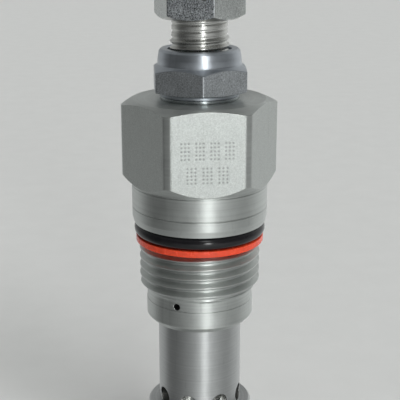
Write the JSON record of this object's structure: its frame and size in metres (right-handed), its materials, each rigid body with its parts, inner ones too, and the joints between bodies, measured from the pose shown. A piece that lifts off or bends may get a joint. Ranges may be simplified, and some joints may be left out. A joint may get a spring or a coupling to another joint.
{
  "type": "screw-in cartridge relief valve",
  "caption": "Screw-in hydraulic cartridge relief valve: hexagon body, threaded neck, ported sleeve with sealed nose, hexagon-head adjusting screw and locknut.",
  "frame": {"origin": "on the valve's axis, at the centre of the nose face, the lowest plane of the valve", "axes": "+Z along the axis from the nose to the adjusting screw; -Y is the outward normal of the front flat of the body hexagon; +X is to the right as the front flat is looked at"},
  "size_m": [0.025, 0.0222, 0.0853],
  "materials": {
    "body_steel": "turned and ground bright steel, fine lathe marks",
    "sleeve_steel": "hardened and ground steel, darker, smooth",
    "plated_steel": "zinc plated cold-formed steel, light handling marks",
    "nut_steel": "zinc plated cold-formed steel, darker and glossier",
    "washer_steel": "polished plated steel",
    "inner_steel": "turned steel",
    "hardened_steel": "hardened, ground and lapped steel",
    "spring_steel": "oil-tempered spring wire",
    "brass_part": "turned brass",
    "nylon": "moulded nylon",
    "seal_rubber": "glossy oiled nitrile rubber",
    "backup_ring": "orange-red polyurethane, slightly waxy"
  },
  "bodies": {
    "body": {"hex_body": "body_steel", "shoulder_o_ring": "seal_rubber", "shoulder_backup_ring": "backup_ring", "pilot_seat": "inner_steel", "pilot_seat_o_ring": "seal_rubber", "retaining_wire": "spring_steel", "main_spring": "spring_steel", "pilot_spring": "spring_steel"},
    "adjuster_pad": {"spring_pad": "inner_steel", "pad_o_ring": "seal_rubber"},
    "adjuster_screw": {"adjusting_screw": "plated_steel"},
    "nut_washer": {"locknut_washer": "washer_steel"},
    "nut": {"locknut": "nut_steel", "locknut_insert": "nylon"},
    "cage": {"sleeve": "sleeve_steel", "nose_o_ring": "seal_rubber", "nose_backup_upper": "backup_ring", "nose_backup_lower": "backup_ring", "piston_stop_ring": "spring_steel"},
    "piston": {"main_piston": "hardened_steel", "orifice_plug": "brass_part", "filter_screen": "brass_part"},
    "poppet": {"pilot_poppet": "hardened_steel"}
  },
  "joints": [
    {"name": "adjuster_travel", "type": "slide", "parent": "body", "child": "adjuster_pad", "axis": [0, 0, 1], "range_m": [-0.00423, 0.00106], "deforming": ["pilot_spring"]},
    {"name": "adjuster_turn", "type": "hinge", "parent": "adjuster_pad", "child": "adjuster_screw", "pos_m": [0, 0, 0.07], "axis": [0, 0, 1], "range_deg": [-1440.5, 360.5]},
    {"name": "locknut_travel", "type": "slide", "parent": "body", "child": "nut_washer", "axis": [0, 0, 1], "range_m": [0, 0.0002645]},
    {"name": "locknut_turn", "type": "hinge", "parent": "nut_washer", "child": "nut", "pos_m": [0, 0, 0.07], "axis": [0, 0, 1], "range_deg": [0, 90.2]},
    {"name": "cage_swivel", "type": "hinge", "parent": "body", "child": "cage", "pos_m": [0, 0, 0.0339], "axis": [0, 0, 1], "continuous": true},
    {"name": "main_piston_lift", "type": "slide", "parent": "cage", "child": "piston", "axis": [0, 0, 1], "range_m": [0, 0.0045], "stiffness_N_per_m": 2000, "deforming": ["main_spring"]},
    {"name": "pilot_poppet_lift", "type": "slide", "parent": "body", "child": "poppet", "axis": [0, 0, 1], "range_m": [0, 0.0006], "stiffness_N_per_m": 8000, "deforming": ["pilot_spring"]}
  ],
  "couplings": [
    {"joint": "adjuster_turn", "follows": "adjuster_travel", "rad_per_m": 5937.1},
    {"joint": "locknut_turn", "follows": "locknut_travel", "rad_per_m": 5937.1}
  ]
}
